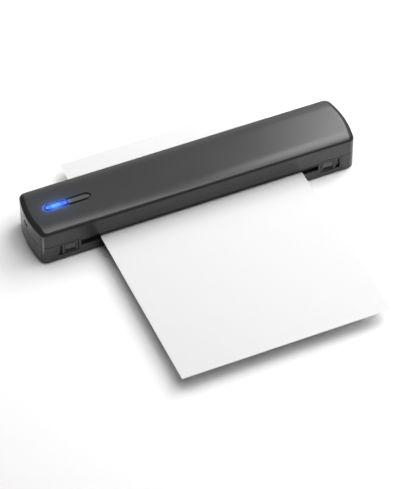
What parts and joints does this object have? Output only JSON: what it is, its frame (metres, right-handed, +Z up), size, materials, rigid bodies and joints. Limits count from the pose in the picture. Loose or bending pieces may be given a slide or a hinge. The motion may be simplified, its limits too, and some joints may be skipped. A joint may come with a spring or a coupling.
{
  "type": "portable thermal printer",
  "caption": "Long low portable sheet printer with a rear-hinged cover, end latches, a lit power bar, a platen roller and gear drive, and a sheet lying through its slots.",
  "frame": {"origin": "on the table, under the middle of the case, on the middle foot's underside", "axes": "+X right seen from the front, -Y towards the paper outlet, +Z up"},
  "size_m": [0.332, 0.297, 0.0405],
  "materials": {
    "case_plastic": "fine-grained dark grey moulded plastic",
    "latch_plastic": "dark grey moulded plastic",
    "frame_plastic": "black moulded plastic",
    "bar_smoke": "polished smoke-coloured plastic",
    "lens_blue": "clear plastic lit blue from below",
    "rubber": "black rubber",
    "steel": "zinc-plated steel",
    "aluminium": "extruded aluminium",
    "ceramic": "glazed ceramic strip",
    "board_green": "green solder mask",
    "chip_black": "moulded black epoxy",
    "socket_white": "natural nylon",
    "gear_nylon": "white acetal",
    "bush_acetal": "black acetal",
    "cell_foil": "silver foil pouch",
    "foam": "grey foam tape",
    "lead_red": "insulated lead",
    "ribbon": "flat ribbon",
    "paper": "plain white thermal paper"
  },
  "bodies": {
    "base": {"lower_housing": "case_plastic", "rubber_feet": "rubber", "lower_guide": "frame_plastic", "side_frame_left": "steel", "side_frame_right": "steel", "platen_bushes": "bush_acetal", "idler_axle": "steel", "gear_plate": "steel", "feed_motor": "steel", "motor_screws": "steel", "guide_screws": "steel", "frame_screws": "steel", "paper_sensor": "chip_black", "sensor_board": "board_green", "sensor_posts": "socket_white", "left_latch_spring": "steel", "right_latch_spring": "steel", "hinge_pins": "steel"},
    "cover": {"upper_housing": "case_plastic", "upper_chassis": "frame_plastic", "chassis_screws": "steel", "head_pivot_pins": "steel", "head_springs": "steel", "head_ribbon": "ribbon", "main_board": "board_green", "board_chips": "chip_black", "radio_module": "steel", "board_connectors": "socket_white", "board_screws": "steel", "usb_port": "steel", "button_board": "board_green", "button_board_screws": "steel", "power_switch": "chip_black", "status_lights": "lens_blue", "status_lens": "lens_blue", "battery_cells": "cell_foil", "battery_pads": "foam", "battery_board": "board_green", "battery_leads": "lead_red"},
    "head": {"thermal_strip": "ceramic", "heat_sink": "aluminium"},
    "platen": {"platen_shaft": "steel", "platen_rubber": "rubber", "platen_gear": "gear_nylon", "retaining_clips": "steel"},
    "idler": {"idler_gear": "gear_nylon"},
    "motor_rotor": {"motor_shaft": "steel", "motor_pinion": "gear_nylon"},
    "left_latch": {"left_latch": "latch_plastic"},
    "right_latch": {"right_latch": "latch_plastic"},
    "power_button": {"power_button": "bar_smoke"},
    "paper": {"paper_sheet": "paper"}
  },
  "joints": [
    {"name": "cover_hinge", "type": "hinge", "parent": "base", "child": "cover", "pos_m": [0, 0.0283, 0.021], "axis": [-1, 0, 0], "range_deg": [0, 85]},
    {"name": "left_latch_slide", "type": "slide", "parent": "base", "child": "left_latch", "axis": [-1, 0, 0], "range_m": [0, 0.0025], "stiffness_N_per_m": 300, "springref_m": -0.003, "deforming": ["left_latch_spring"]},
    {"name": "right_latch_slide", "type": "slide", "parent": "base", "child": "right_latch", "axis": [1, 0, 0], "range_m": [0, 0.0025], "stiffness_N_per_m": 300, "springref_m": -0.003, "deforming": ["right_latch_spring"]},
    {"name": "power_button_press", "type": "slide", "parent": "cover", "child": "power_button", "axis": [0, 0, -1], "range_m": [0, 0.0008], "stiffness_N_per_m": 800, "springref_m": -0.001},
    {"name": "head_pivot", "type": "hinge", "parent": "cover", "child": "head", "pos_m": [0, 0.002, 0.0176], "axis": [-1, 0, 0], "range_deg": [0, 3], "stiffness_Nm_per_rad": 0.2, "springref_deg": -28.65, "deforming": ["head_springs"]},
    {"name": "paper_feed", "type": "slide", "parent": "base", "child": "paper", "axis": [0, -1, 0], "range_m": [-0.215, 0.082]},
    {"name": "platen_spin", "type": "hinge", "parent": "base", "child": "platen", "pos_m": [0, -0.008, 0.009], "axis": [1, 0, 0], "continuous": true},
    {"name": "idler_spin", "type": "hinge", "parent": "base", "child": "idler", "pos_m": [0.129, 0.00527, 0.0115], "axis": [1, 0, 0], "continuous": true},
    {"name": "motor_spin", "type": "hinge", "parent": "base", "child": "motor_rotor", "pos_m": [0.129, 0.01623, 0.0106], "axis": [1, 0, 0], "continuous": true}
  ],
  "couplings": [
    {"joint": "platen_spin", "follows": "paper_feed", "rad_per_m": 200},
    {"joint": "idler_spin", "follows": "paper_feed", "rad_per_m": -137.5},
    {"joint": "motor_spin", "follows": "paper_feed", "rad_per_m": 366.67}
  ]
}
